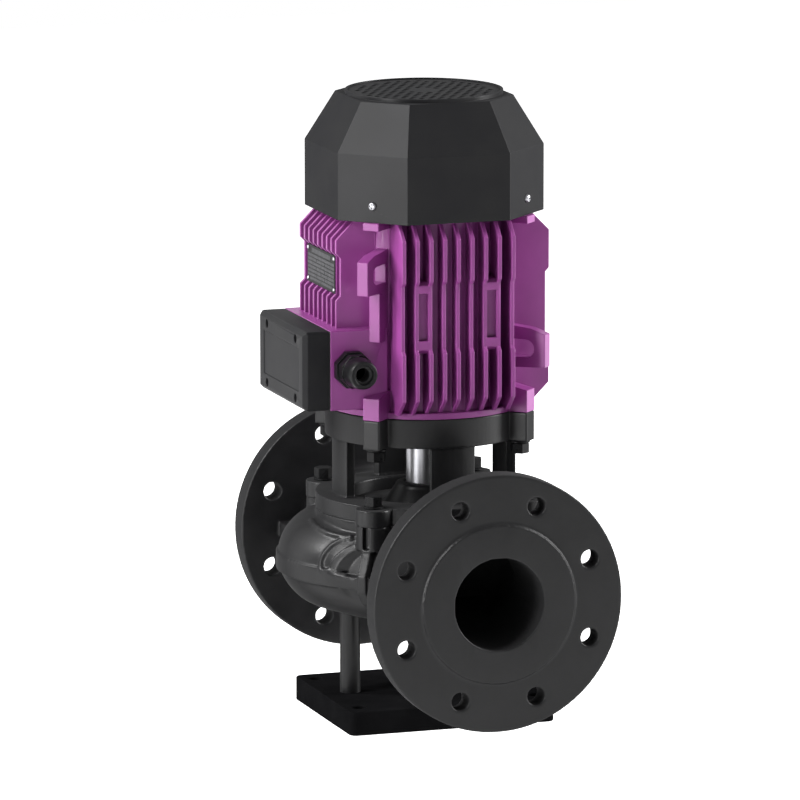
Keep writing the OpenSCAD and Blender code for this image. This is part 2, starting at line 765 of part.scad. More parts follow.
module shield_bolts() color(bright_steel) at_diagonals(core_r + 4) {
  translate([0, 0, housing_top + fan_shield_t]) hex_head(7, 3.5);
  translate([0, 0, housing_top - 4.5]) cylinder(r = 2.5, h = fan_shield_t + 5);
}

module stator_core() color("silver")
  ring(stator_bottom, stator_top - stator_bottom, core_bore_r - slip, stator_bore_r);

// One rounded bundle of end turns
module end_turns(z) rotate_extrude() {
  translate([winding_in, z]) square([winding_out - winding_in, winding_h - winding_round]);
  translate([winding_in + winding_round, z])
    square([winding_out - winding_in - 2 * winding_round, winding_h]);
  for (x = [winding_in + winding_round, winding_out - winding_round])
    translate([x, z + winding_h - winding_round]) circle(winding_round);
}

module stator_windings() color(copper) {
  translate([0, 0, stator_top]) end_turns(0);
  translate([0, 0, stator_bottom]) mirror([0, 0, 1]) end_turns(0);
}

// Ball bearing pieces between radii a and b, w wide, standing on z
module outer_race(z, a, b, w) translate([0, 0, z]) rotate_extrude() difference() {
  translate([b - (b - a) * 0.27, 0]) square([(b - a) * 0.27, w]);
  translate([(a + b) / 2, w / 2]) circle((b - a) * 0.3 + 0.1);
}

module inner_race(z, a, b, w) translate([0, 0, z]) rotate_extrude() difference() {
  translate([a, 0]) square([(b - a) * 0.27, w]);
  translate([(a + b) / 2, w / 2]) circle((b - a) * 0.3 + 0.1);
}

module balls(z, a, b, w, n) for (i = [0 : n - 1]) rotate([0, 0, i * 360 / n])
  translate([(a + b) / 2, 0, z + w / 2]) sphere((b - a) * 0.3, $fn = 24);

module bearing_outer_rings() color(bright_steel) {
  outer_race(bearing_low_z, bearing_low_r, bearing_low_out - slip / 2, bearing_low_w);
  outer_race(bearing_up_z, bearing_up_r, bearing_up_out - slip / 2, bearing_up_w);
}

module bearing_inner_rings() color(bright_steel) {
  inner_race(bearing_low_z, bearing_low_r + slip / 2, bearing_low_out, bearing_low_w);
  inner_race(bearing_up_z, bearing_up_r + slip / 2, bearing_up_out, bearing_up_w);
}

module bearing_balls() color("white") {
  balls(bearing_low_z, bearing_low_r, bearing_low_out, bearing_low_w, 9);
  balls(bearing_up_z, bearing_up_r, bearing_up_out, bearing_up_w, 8);
}

// Octagon with wide facets at distance flat and half width half
module octagon(flat, half) polygon([[flat, half], [half, flat], [-half, flat], [-flat, half],
  [-flat, -half], [-half, -flat], [half, -flat], [flat, -half]]);

cowl_diagonal = (cowl_flat + cowl_half) / sqrt(2);

module cowl_form(inset, top) {
  shrink = inset * tan(22.5);
  translate([0, 0, housing_top - (inset > 0 ? 1 : 0)])
    linear_extrude(skirt_h + (inset > 0 ? 1 : 0)) octagon(cowl_flat - inset, cowl_half - shrink);
  hull() {
    translate([0, 0, cowl_shoulder - eps]) linear_extrude(eps) octagon(cowl_flat - inset, cowl_half - shrink);
    translate([0, 0, top - eps]) linear_extrude(eps) octagon(top_flat - inset, top_half - shrink);
  }
}

module fan_cowl() color(sheet_black) difference() {
  union() {
    cowl_form(0, cowl_top);
    translate([0, 0, cowl_top - 1]) cylinder(r = lip_r, h = lip_h + 1);
  }
  cowl_form(cowl_t, cowl_top - cowl_t);
  translate([0, 0, cowl_top - 5]) cylinder(r = air_opening_r, h = 20);
  translate([0, 0, cowl_top]) cylinder(r = grille_r + slip, h = 20);
  at_diagonals(0) rod_x(0, screw_z, cowl_flat - 5, cowl_flat + 20, lid_screw_r + 0.7);
}

module cowl_grille() color(sheet_black) difference() {
  translate([0, 0, cowl_top]) cylinder(r = grille_r, h = grille_t);
  rows = floor(grille_r / (air_pitch * sin(60)));
  for (j = [-rows : rows], i = [-rows : rows]) {
    x = (i + (j % 2 == 0 ? 0 : 0.5)) * air_pitch;
    y = j * air_pitch * sin(60);
    reach = norm([x, y]);
    if (reach > solid_centre_r && reach < air_opening_r - air_hole_d / 2)
      translate([x, y, cowl_top - eps]) cylinder(d = air_hole_d, h = grille_t + 2 * eps, $fn = 16);
  }
}

module cowl_screws() color(bright_steel) at_diagonals(0) {
  rod_x(0, screw_z, cowl_diagonal, cowl_diagonal + 2.4, 3.3);
  rod_x(0, screw_z, core_r + 7, cowl_diagonal + 1, lid_screw_r + 0.5);
}

module terminal_gasket() color("dimgray") translate([-box_x, 0, box_mid]) rotate([0, -90, 0])
  linear_extrude(box_gasket_t) difference() {
    square([box_h - 1, 2 * box_half - 1], center = true);
    difference() {
      square([box_h - 2 * box_wall, 2 * (box_half - box_wall)], center = true);
      for (y = [-1, 1], z = [-1, 1]) translate([z * lid_screw_z, y * lid_screw_y]) circle(lid_boss_r);
    }
    for (y = [-1, 1], z = [-1, 1]) translate([z * lid_screw_z, y * lid_screw_y]) circle(lid_screw_r + slip);
  }

// Cover: a block with a bevelled face, hollow from the back
module lid_block() intersection() {
  translate([-lid_face, -box_half, box_bottom]) cube([lid_depth, 2 * box_half, box_h]);
  translate([0, 0, box_bottom]) linear_extrude(box_h) polygon([[-lid_x, -box_half], [-lid_x, box_half],
    [-lid_face + lid_bevel, box_half], [-lid_face, box_half - lid_bevel],
    [-lid_face, -box_half + lid_bevel], [-lid_face + lid_bevel, -box_half]]);
  translate([0, box_half, box_bottom]) rotate([90, 0, 0]) linear_extrude(2 * box_half)
    polygon([[-lid_x, 0], [-lid_x, box_h], [-lid_face + lid_bevel, box_h], [-lid_face, box_h - lid_bevel],
      [-lid_face, lid_bevel], [-lid_face + lid_bevel, 0]]);
  translate([-lid_face, 0, box_mid]) rotate([0, 90, 0]) linear_extrude(lid_depth)
    round_rect(box_h, 2 * box_half, 3);
}

module terminal_cover() color(moulded_black) difference() {
  lid_block();
  difference() {
    translate([-lid_face + lid_wall, -box_half + box_wall, box_bottom + box_wall])
      cube([lid_depth, 2 * (box_half - box_wall), box_h - 2 * box_wall]);
    lid_screw_places() rod_x(0, 0, -lid_face, -lid_x, lid_recess_r + 2.5);
  }
  lid_screw_places() {
    rod_x(0, 0, -lid_face - 1, -lid_face + lid_recess, lid_recess_r);
    rod_x(0, 0, -lid_face, -lid_x + 1, lid_screw_r + 2 * slip);
  }
  translate([-lid_face - 1, -label_half_y, box_mid - label_half_z])
    cube([1 + label_sink, 2 * label_half_y, 2 * label_half_z]);
}

module terminal_screws() color(bright_steel) lid_screw_places() difference() {
  union() {
    rod_x(0, 0, -lid_face + lid_recess - lid_screw_head, -lid_face + lid_recess, lid_screw_head_r);
    rod_x(0, 0, -lid_face + lid_recess - 1, -box_x + lid_screw_grip, lid_screw_r);
  }
  translate([-lid_face + lid_recess - lid_screw_head - eps, 0, 0]) rotate([0, 90, 0]) hex_head(2.5, 2);
}

module terminal_board() color("saddlebrown") {
  translate([-box_floor_r - board_gap - board_t, -1.6 * stud_pitch, box_mid - 1.2 * stud_pitch])
    cube([board_t, 3.2 * stud_pitch, 2.4 * stud_pitch]);
  for (z = [-1, 1]) rod_x(0, box_mid + z * stud_pitch, -box_floor_r - board_gap - eps, -box_floor_r, 4);
}

module terminal_studs() color("goldenrod") for (y = [-1, 0, 1], z = [-1, 1])
  translate([-box_floor_r - board_gap - board_t, y * stud_pitch, box_mid + z * stud_pitch / 2])
    rotate([0, -90, 0]) {
      cylinder(r = stud_r, h = 10);
      hex_head(7, 3.5);
    }

// Octagonal head standing on z = 0, its flats square to X and Y
module octagon_head(af, h) rotate([0, 0, 22.5]) cylinder(r = af / 2 / cos(22.5), h = h, $fn = 8);

module gland_body() color(moulded_black) difference() {
  union() {
    rod_y(-gland_x, gland_z, -box_half - gland_flange_t / 2, -box_half + box_wall + 3, gland_thread_r);
    translate([-gland_x, -box_half, gland_z]) rotate([90, 0, 0]) octagon_head(gland_af, gland_flange_t);
    rod_y(-gland_x, gland_z, -box_half - gland_flange_t - gland_spigot_l, -box_half - gland_flange_t + 1,
      gland_spigot_r);
  }
  rod_y(-gland_x, gland_z, -box_half - 60, -box_half + 60, gland_hole_d / 2);
}

// Cap: an octagonal grip, then a dome down to the mouth
module gland_nut() color(moulded_black) translate([-gland_x, -box_half - gland_flange_t, gland_z])
  rotate([90, 0, 0]) difference() {
    union() {
      octagon_head(gland_grip_af, gland_grip_l);
      rotate_extrude() polygon(concat([[0, 0], [gland_dome_r, 0]],
        [for (a = [0 : 15 : 90]) [gland_mouth_r + (gland_dome_r - gland_mouth_r) * cos(a),
          gland_grip_l + (gland_cap_l - gland_grip_l) * sin(a)]], [[0, gland_cap_l]]));
    }
    translate([0, 0, -1]) cylinder(r = gland_hole_d / 2, h = gland_cap_l + 2);
    translate([0, 0, -1]) cylinder(r = gland_spigot_r + slip, h = gland_spigot_l + 2);
  }

module gland_seal() color([0.08, 0.08, 0.08])
  translate([-gland_x, -box_half - gland_flange_t + 2, gland_z]) rotate([90, 0, 0]) rotate_extrude()
    translate([cable_d / 2, 0])
      square([gland_hole_d / 2 - slip - cable_d / 2, gland_cap_l - seal_lip]);

module nameplate() color([0.25, 0.25, 0.26]) difference() {
  translate([-plate_seat - plate_t, -plate_half, plate_low])
    cube([plate_t, 2 * plate_half, plate_high - plate_low]);
  plate_rivet_places() rod_x(0, 0, -plate_t - 1, 1, rivet_r + 0.05);
}

module plate_rivet_places() for (y = [-1, 1], z = [plate_low + 3, plate_high - 3])
  translate([-plate_seat, y * (plate_half - 2.5), z]) children();

module nameplate_rivets() color(bright_steel) plate_rivet_places() {
  rod_x(0, 0, -plate_t, 0, rivet_r);
  rod_x(0, 0, -plate_t - 0.8, -plate_t, rivet_head_r);
}

module motor_shaft() color(bright_steel) difference() {
  rotate_extrude() polygon([[0, shaft_tip], [thread_r - 1, shaft_tip], [thread_r, shaft_tip + 1],
    [thread_r, hub_bottom], [tail_d / 2, hub_bottom], [tail_d / 2, cover_floor], [shaft_r, cover_floor],
    [shaft_r, bearing_low_z], [bearing_low_r, bearing_low_z], [bearing_low_r, bearing_low_z + bearing_low_w],
    [rotor_seat_r, bearing_low_z + bearing_low_w], [rotor_seat_r, stator_top + end_ring_h],
    [bearing_up_r + 3, stator_top + end_ring_h], [bearing_up_r + 3, bearing_up_z],
    [bearing_up_r, bearing_up_z], [bearing_up_r, bearing_up_z + bearing_up_w],
    [fan_seat_r, bearing_up_z + bearing_up_w], [fan_seat_r, fan_top], [fan_seat_r - 0.7, fan_top],
    [fan_seat_r - 0.7, fan_top + 1.2], [fan_seat_r, fan_top + 1.2], [fan_seat_r, fan_top + 6],
    [0, fan_top + 6]]);
  translate([tail_d / 2 - key_w / 2 - 0.05, -key_w / 2 - 0.05, hub_bottom + 4])
    cube([key_w, key_w + 0.1, back_top - hub_bottom - 4]);
}

module rotor_core() color("lightsteelblue") ring(stator_bottom, stator_top - stator_bottom,
  stator_bore_r - air_gap, rotor_seat_r + slip / 2);

module rotor_end_rings() color("silver") for (z = [stator_bottom - end_ring_h, stator_top])
  ring(z, end_ring_h, stator_bore_r - 2, rotor_seat_r + 5);

// A backward-curved vane: part of a ring that is centred off the axis
module vane() {
  bend_r = impeller_r * 0.66;
  bend_x = impeller_r * 0.6;
  intersection() {
    difference() {
      translate([bend_x, 0]) circle(bend_r + vane_t / 2, $fn = 96);
      translate([bend_x, 0]) circle(bend_r - vane_t / 2, $fn = 96);
    }
    difference() {
      circle(impeller_r - 0.5, $fn = 96);
      circle(eye_r - 2);
    }
    translate([-impeller_r, 0]) square([2 * impeller_r, impeller_r]);
  }
}

module impeller() color("burlywood") difference() {
  union() {
    translate([0, 0, back_bottom]) cylinder(r = impeller_r, h = shroud_t);
    translate([0, 0, hub_bottom]) cylinder(r = hub_r, h = cover_floor - hub_bottom);
    ring(chamber_floor - wear_t + 0.5, wear_t + 5, eye_r + eye_wall, eye_r);
    rotate_extrude($fn = 96) polygon([[eye_r, front_inner], [eye_r + eye_wall, front_inner],
      [impeller_r, front_outer - front_t], [impeller_r, front_outer], [eye_r, front_inner + front_t]]);
    intersection() {
      for (i = [0 : vanes - 1]) rotate([0, 0, i * 360 / vanes]) translate([0, 0, front_inner])
        linear_extrude(back_bottom - front_inner + 1) vane();
      rotate_extrude($fn = 96) polygon([[0, front_inner + 1], [eye_r + eye_wall, front_inner + 1],
        [impeller_r, front_outer - 1], [impeller_r, back_top], [0, back_top]]);
    }
  }
  translate([0, 0, hub_bottom - 1]) cylinder(r = tail_d / 2 + slip / 2, h = 80);
  translate([tail_d / 2 - 1, -key_w / 2 - 0.05, hub_bottom - 1])
    cube([1 + key_w / 2 + 0.05, key_w + 0.1, back_top - hub_bottom + 1]);
}

module impeller_key() color("dimgray") translate([tail_d / 2 - key_w / 2, -key_w / 2, hub_bottom + 4.1])
  cube([key_w, key_w, back_top - hub_bottom - 4.2]);

module impeller_washer() color(bright_steel) ring(hub_bottom - 2, 2, hub_r - 6, thread_r + slip);

module impeller_nut() color(bright_steel) translate([0, 0, hub_bottom - 2 - nut_h]) difference() {
  hex_head(nut_af, nut_h);
  translate([0, 0, -eps]) cylinder(r = thread_r + slip, h = nut_h + 1);
}

module seal_head() color("dimgray")
  ring(seal_roof - seat_t - head_ring_t - slip, head_ring_t, seal_r - 2.5, shaft_r + slip);

module seal_bellows() color([0.1, 0.1, 0.1]) rotate_extrude() {
  low = cover_floor;
  high = seal_roof - seat_t - head_ring_t - slip;
  translate([shaft_r + slip, low]) square([2, high - low]);
  for (k = [0.28, 0.72]) translate([shaft_r + 2, low + k * (high - low)]) circle(fold_r);
}

fan_low = housing_top + fan_shield_t + 8;
fan_hub_h = 20;
fan_top = fan_low + fan_hub_h;
fan_blade_h = 26;

module cooling_fan() color([0.13, 0.13, 0.14]) difference() {
  union() {
    translate([0, 0, fan_low]) cylinder(r = fan_seat_r + 6, h = fan_hub_h);
    translate([0, 0, fan_low]) cylinder(r = fan_d / 2 - 3, h = 2.5);
    for (i = [0 : fan_blades - 1]) rotate([0, 0, i * 360 / fan_blades])
      radial_plate([[fan_seat_r + 4, fan_low], [fan_d / 2, fan_low + 2], [fan_d / 2, fan_low + fan_blade_h],
        [fan_d / 4, fan_low + fan_blade_h], [fan_seat_r + 4, fan_low + fan_hub_h - 2]], 2.5);
  }
  translate([0, 0, fan_low - 1]) cylinder(r = fan_seat_r + slip / 2, h = 60);
}

module fan_clip() color(bright_steel) ring(fan_top + 0.1, 1, fan_seat_r + 3, fan_seat_r - 0.6);

base_plate();
support_legs();
leg_screws();
volute_casing();
wear_ring();
cover_gasket();
casing_cover();
seal_seat();
lantern();
cover_bolts();
cover_washers();
motor_bolts();
motor_washers();
motor_housing();
drive_end_shield();
fan_end_shield();
shield_bolts();
stator_core();
stator_windings();
bearing_outer_rings();
fan_cowl();
cowl_grille();
cowl_screws();
terminal_gasket();
terminal_cover();
terminal_screws();
terminal_board();
terminal_studs();
gland_body();
gland_nut();
gland_seal();
nameplate();
nameplate_rivets();
motor_shaft();
bearing_inner_rings();
bearing_balls();
rotor_core();
rotor_end_rings();
impeller();
impeller_key();
impeller_washer();
impeller_nut();
seal_head();
seal_bellows();
cooling_fan();
fan_clip();
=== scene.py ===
import json
import math

import bmesh
import bpy
from mathutils import Matrix, Vector

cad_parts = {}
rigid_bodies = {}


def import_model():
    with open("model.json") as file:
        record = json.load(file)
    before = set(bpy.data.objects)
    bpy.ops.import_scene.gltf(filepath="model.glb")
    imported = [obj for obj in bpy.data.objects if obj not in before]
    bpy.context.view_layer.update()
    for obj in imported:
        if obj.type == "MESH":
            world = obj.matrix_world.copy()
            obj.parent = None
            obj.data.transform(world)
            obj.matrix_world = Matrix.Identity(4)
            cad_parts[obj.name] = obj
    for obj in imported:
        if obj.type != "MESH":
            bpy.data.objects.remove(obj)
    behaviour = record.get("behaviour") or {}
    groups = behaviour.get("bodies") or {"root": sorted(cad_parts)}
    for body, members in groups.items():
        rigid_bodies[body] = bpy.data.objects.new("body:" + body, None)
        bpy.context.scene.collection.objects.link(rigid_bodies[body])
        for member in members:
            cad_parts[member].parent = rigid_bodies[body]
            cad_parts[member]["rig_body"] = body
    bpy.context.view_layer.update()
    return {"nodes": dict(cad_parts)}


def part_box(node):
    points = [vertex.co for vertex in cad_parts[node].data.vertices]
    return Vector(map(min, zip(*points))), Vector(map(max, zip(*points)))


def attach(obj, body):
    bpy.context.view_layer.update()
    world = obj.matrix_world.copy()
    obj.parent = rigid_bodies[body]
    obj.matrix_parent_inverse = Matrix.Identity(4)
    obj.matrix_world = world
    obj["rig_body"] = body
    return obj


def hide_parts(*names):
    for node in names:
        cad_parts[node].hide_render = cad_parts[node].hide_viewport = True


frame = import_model()
nodes = frame["nodes"]

MM = 0.001


def placed(name, data):
    """A new object in the scene's collection."""
    made = bpy.data.objects.new(name, data)
    bpy.context.scene.collection.objects.link(made)
    return made


# Camera, fitted to the photograph's 800 x 800 frame

IMAGE = 800
FOCAL_PX = 7688.95
AXIS_PX = (423.92, 396.94)      # where the camera's axis meets the frame, from its top left
AZIMUTH, ELEVATION, DISTANCE = math.radians(-18.746), math.radians(10.337), 6.0
TARGET = Vector((0, 0, 0.25))   # the point on the shaft axis that the camera faces

camera = placed("camera", bpy.data.cameras.new("camera"))
camera.data.sensor_width = 36
camera.data.lens = FOCAL_PX / IMAGE * camera.data.sensor_width
camera.data.shift_x = (IMAGE / 2 - AXIS_PX[0]) / IMAGE
camera.data.shift_y = (AXIS_PX[1] - IMAGE / 2) / IMAGE
camera.data.clip_start, camera.data.clip_end = 0.1, 40
back = Vector((math.sin(AZIMUTH) * math.cos(ELEVATION),
               -math.cos(AZIMUTH) * math.cos(ELEVATION), math.sin(ELEVATION)))
camera.location = TARGET + DISTANCE * back
camera.rotation_euler = (math.pi / 2 - ELEVATION, 0, AZIMUTH)
bpy.context.scene.camera = camera


# Materials

def linear(hex_colour):
    """An sRGB hex value as the linear colour that the shaders take."""
    parts = [int(hex_colour[i:i + 2], 16) / 255 for i in (1, 3, 5)]
    return [c / 12.92 if c <= 0.04045 else ((c + 0.055) / 1.055) ** 2.4 for c in parts] + [1]


def add(tree, kind, links=(), **settings):
    """Adds a node. Settings are its properties, or its inputs as in_Name; links are (input, output)."""
    node = tree.nodes.new(kind)
    for name, value in settings.items():
        if name.startswith("in_"):
            node.inputs[name[3:].replace("_", " ")].default_value = value
        else:
            setattr(node, name, value)
    for socket, source in links:
        tree.links.new(node.inputs[socket], source)
    return node


def finish(name, colour, roughness, metallic=0.0, **shine):
    """A named material with one Principled shader; returns the material, its tree and the shader."""
    material = bpy.data.materials.new(name)
    material.use_nodes = True
    tree = material.node_tree
    shader = tree.nodes["Principled BSDF"]
    shader.inputs["Base Color"].default_value = linear(colour)
    shader.inputs["Roughness"].default_value = roughness
    shader.inputs["Metallic"].default_value = metallic
    for socket, value in shine.items():
        shader.inputs[socket.replace("_", " ")].default_value = value
    return material, tree, shader


def grain(tree, size_mm, detail=3, stretch=(1, 1, 1)):
    """Noise on Object coordinates whose grains are about size_mm across."""
    where = add(tree, "ShaderNodeTexCoord").outputs["Object"]
    spread = add(tree, "ShaderNodeMapping", [("Vector", where)], in_Scale=stretch)
    return add(tree, "ShaderNodeTexNoise", [("Vector", spread.outputs[0])],
               in_Scale=1 / (size_mm * MM), in_Detail=detail, in_Roughness=0.55).outputs["Fac"]


def between(tree, fac, low, high):
    """Colours low to high as fac goes from 0.35 to 0.65, where most noise lies."""
    ramp = add(tree, "ShaderNodeValToRGB", [("Fac", fac)])
    ramp.color_ramp.elements[0].position, ramp.color_ramp.elements[1].position = 0.35, 0.65
    ramp.color_ramp.elements[0].color, ramp.color_ramp.elements[1].color = linear(low), linear(high)
    return ramp.outputs["Color"]


def ranged(tree, fac, low, high):
    """Values low to high as fac goes from 0.3 to 0.7."""
    return add(tree, "ShaderNodeMapRange", [("Value", fac)],
               in_From_Min=0.3, in_From_Max=0.7, in_To_Min=low, in_To_Max=high).outputs[0]


def spread_roughness(tree, shader, fac, low, high):
    """Roughness low to high with the noise."""
    tree.links.new(shader.inputs["Roughness"], ranged(tree, fac, low, high))


GLANCE_ROUGHNESS = 0.95
FACE_ON, AT_A_GLANCE = 0.28, 0.62   # Layer Weight's Facing where the change starts and ends


def matt_at_a_glance(tree, shader, fac, low, high):
    """Gloss of a paint with a fine tooth: low to high with the noise face on, dull at a low angle."""
    level = ranged(tree, fac, low, high)
    facing = add(tree, "ShaderNodeLayerWeight", in_Blend=0.5).outputs["Facing"]
    dull = add(tree, "ShaderNodeMapRange", [("Value", facing), ("To Min", level)],
               in_From_Min=FACE_ON, in_From_Max=AT_A_GLANCE, in_To_Max=GLANCE_ROUGHNESS)
    tree.links.new(shader.inputs["Roughness"], dull.outputs[0])


def relief(tree, shader, height, depth_mm, strength, under=None):
    """A bump depth_mm deep, over another bump where one is given."""
    links = [("Height", height)] + ([("Normal", under)] if under else [])
    bump = add(tree, "ShaderNodeBump", links, in_Distance=depth_mm * MM, in_Strength=strength)
    tree.links.new(shader.inputs["Normal"], bump.outputs[0])
    return bump.outputs[0]


def enamelled_iron():
    """Grey iron cast in sand under black enamel: a fine pebbled grain that catches soft grey light."""
    material, tree, shader = finish("sand_cast_iron_black_enamel", "#1a1a1b", 0.36,
                                    Specular_IOR_Level=0.2)
    tone = grain(tree, 18, detail=4)
    tree.links.new(shader.inputs["Base Color"], between(tree, tone, "#141415", "#181819"))
    matt_at_a_glance(tree, shader, tone, 0.29, 0.35)
    coarse = relief(tree, shader, grain(tree, 3.2, detail=4), 0.08, 0.5)
    relief(tree, shader, grain(tree, 1.3, detail=3), 0.05, 0.5, under=coarse)
    return material


def matt_iron_painted_shade():
    """The base's cast iron under a matt black coat with no shine; its colour is painted shade, darker
    than the casing's iron to stand in for the shade that the casing casts on the base.
    """
    material, tree, shader = finish("sand_cast_iron_matt_black_painted_shade", "#111112", 0.85,
                                    Specular_IOR_Level=0.0)
    tone = grain(tree, 22, detail=4)
    # The darker colours here are painted shade, not a different iron.
    tree.links.new(shader.inputs["Base Color"], between(tree, tone, "#0f0f10", "#131314"))
    spread_roughness(tree, shader, tone, 0.8, 0.9)
    relief(tree, shader, grain(tree, 2.4, detail=4), 0.08, 0.5)
    return material


def purple_enamel():
    """Die-cast aluminium under satin purple enamel: a faint orange peel and soft highlights."""
    material, tree, shader = finish("die_cast_aluminium_purple_enamel", "#853d7f", 0.34,
                                    Specular_IOR_Level=0.3)
    tone = grain(tree, 30, detail=2)
    tree.links.new(shader.inputs["Base Color"], between(tree, tone, "#823b7c", "#883f82"))
    spread_roughness(tree, shader, tone, 0.32, 0.4)
    relief(tree, shader, grain(tree, 1.6, detail=2), 0.05, 0.5)
    return material


def powder_coated_steel():
    """Sheet steel under satin black powder coat: flat facets with a very fine texture."""
    material, tree, shader = finish("sheet_steel_black_powder_coat", "#171718", 0.36,
                                    Specular_IOR_Level=0.13)
    tone = grain(tree, 40, detail=2)
    tree.links.new(shader.inputs["Base Color"], between(tree, tone, "#18181a", "#1c1c1d"))
    matt_at_a_glance(tree, shader, tone, 0.34, 0.4)
    relief(tree, shader, grain(tree, 0.9, detail=2), 0.02, 0.5)
    return material


def moulded_nylon():
    """Glass-filled nylon from a spark-eroded mould: a fine even grain, matt with a slight sheen."""
    material, tree, shader = finish("glass_filled_nylon_black", "#1a1a1b", 0.6,
                                    Specular_IOR_Level=0.1)
    tone = grain(tree, 25, detail=2)
    tree.links.new(shader.inputs["Base Color"], between(tree, tone, "#18181a", "#1c1c1d"))
    relief(tree, shader, grain(tree, 0.8, detail=2), 0.03, 0.6)
    return material


def gland_nylon():
    """Nylon from a polished mould: a deep black with a clear shine on its rims."""
    material, tree, shader = finish("polyamide_gland_black", "#111112", 0.3, Specular_IOR_Level=0.13)
    tone = grain(tree, 12, detail=2)
    tree.links.new(shader.inputs["Base Color"], between(tree, tone, "#0f0f10", "#131314"))
    relief(tree, shader, grain(tree, 0.7, detail=2), 0.02, 0.5)
    return material


def black_oxide_steel():
    """Bolts blackened in hot oxide and oiled: a near black skin with a crisp oily shine."""
    material, tree, shader = finish("bolt_steel_black_oxide", "#101011", 0.3, Specular_IOR_Level=0.11)
    tone = grain(tree, 4, detail=3)
    tree.links.new(shader.inputs["Base Color"], between(tree, tone, "#0e0e0f", "#131314"))
    matt_at_a_glance(tree, shader, tone, 0.24, 0.34)
    return material


def turned_steel(name, stretch, low, high):
    """Steel turned, ground or plated: an even satin grey with long bright highlights."""
    material, tree, shader = finish(name, low, 0.26, metallic=1.0)
    rings = grain(tree, 2, detail=4, stretch=stretch)
    tree.links.new(shader.inputs["Base Color"], between(tree, rings, low, high))
    spread_roughness(tree, shader, rings, 0.3, 0.34)
    return material


def rubber():
    """Moulded nitrile rubber: near black, matt, with a slight bloom."""
    material, tree, shader = finish("nitrile_rubber_black", "#1b1b1c", 0.75)
    tree.links.new(shader.inputs["Base Color"], between(tree, grain(tree, 6), "#181819", "#212122"))
    return material


def plain_grain(name, low, high, roughness, metallic, size_mm, **shine):
    """A simple finish for small and inner pieces: one noise varies colour and a shallow relief."""
    material, tree, shader = finish(name, low, roughness, metallic=metallic, **shine)
    tone = grain(tree, size_mm)
    tree.links.new(shader.inputs["Base Color"], between(tree, tone, low, high))
    relief(tree, shader, tone, 0.03, 0.4)
    return material


cast_iron = enamelled_iron()
base_iron_painted_shade = matt_iron_painted_shade()
enamel = purple_enamel()
coated_sheet = powder_coated_steel()
nylon = moulded_nylon()
gland_black = gland_nylon()
oxide_steel = black_oxide_steel()
shaft_steel = turned_steel("ground_shaft_steel", (0.1, 0.1, 8), "#96969a", "#9c9ca0")
zinc_steel = turned_steel("zinc_plated_steel", (1, 1, 1), "#8c8c90", "#a6a6aa")
nitrile = rubber()
race_steel = turned_steel("bearing_steel_ground", (0.2, 0.2, 6), "#b6b6ba", "#d8d8dc")
# Stamped sheets in a stack: a dull blue-grey metal
core_steel = plain_grain("electrical_steel_stack", "#77777a", "#8e8e92", 0.45, 1.0, 3)
# Pressure-cast and left bare: a pale, slightly mottled grey
cast_aluminium = plain_grain("aluminium_as_cast", "#9c9c9e", "#b8b8ba", 0.5, 1.0, 5)
# Wound and dipped in varnish: a glossy red-brown
copper_wire = plain_grain("varnished_copper_wire", "#8a4a26", "#b06a38", 0.35, 0.9, 1.5)
# Cast and machined: a warm yellow-brown with a soft shine
bronze = plain_grain("tin_bronze_machined", "#8f6a3c", "#b08a54", 0.35, 1.0, 4)
# Sintered and lapped: a smooth off-white
ceramic = plain_grain("sintered_seal_ring", "#9d9a92", "#b5b2aa", 0.3, 0.0, 3)
# Pressed resin board: a flat dark brown
phenolic = plain_grain("phenolic_board", "#4a2c18", "#5e3a22", 0.5, 0.0, 3)
# Turned from bar: a bright yellow metal
brass = plain_grain("turned_brass", "#b08d45", "#c9a75c", 0.3, 1.0, 3)
# Anodised and printed: a matt black plate with matt grey fields
plate_black = plain_grain("anodised_aluminium_black", "#101011", "#161617", 0.5, 0.0, 6,
                          Specular_IOR_Level=0.1)
plate_grey = plain_grain("anodised_aluminium_grey", "#3a3a3c", "#464648", 0.6, 0.0, 6,
                         Specular_IOR_Level=0.1)

FINISHES = {
    cast_iron: "support_legs volute_casing casing_cover lantern",
    base_iron_painted_shade: "base_plate",
    oxide_steel: "leg_screws cover_bolts cover_washers motor_bolts motor_washers",
    enamel: "motor_housing drive_end_shield fan_end_shield",
    coated_sheet: "fan_cowl cowl_grille",
    nylon: "terminal_cover cooling_fan",
    gland_black: "gland_body gland_nut",
    nitrile: "cover_gasket terminal_gasket gland_seal seal_bellows",
    zinc_steel: "shield_bolts cowl_screws terminal_screws nameplate_rivets impeller_key impeller_washer"
                " impeller_nut fan_clip",
    shaft_steel: "motor_shaft",
    race_steel: "bearing_outer_rings bearing_inner_rings bearing_balls",
    core_steel: "stator_core rotor_core",
    cast_aluminium: "rotor_end_rings",
    copper_wire: "stator_windings",
    bronze: "impeller wear_ring",
    ceramic: "seal_seat seal_head",
    phenolic: "terminal_board",
    brass: "terminal_studs",
    plate_black: "nameplate",
}
for material, names in FINISHES.items():
    for name in names.split():
        for holder in nodes[name].material_slots:
            holder.material = material


# Making pieces

FINISH_OF = {name: material for material, names in FINISHES.items() for name in names.split()}


def settle(name, mesh, material, like, replaced=(), crease=32):
    """Makes a bmesh a finished piece in the given material that rides the body of the CAD node "like".

    It stands for the replaced nodes, which are then hidden. Edges over crease degrees are sharp.
    """
    data = bpy.data.meshes.new(name)
    mesh.to_mesh(data)
    mesh.free()
    data.materials.append(material)
    data.shade_smooth()
    data.set_sharp_from_angle(angle=math.radians(crease))
    made = placed(name, data)
    if replaced:
        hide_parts(*replaced)
    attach(made, nodes[like]["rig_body"])
    return made


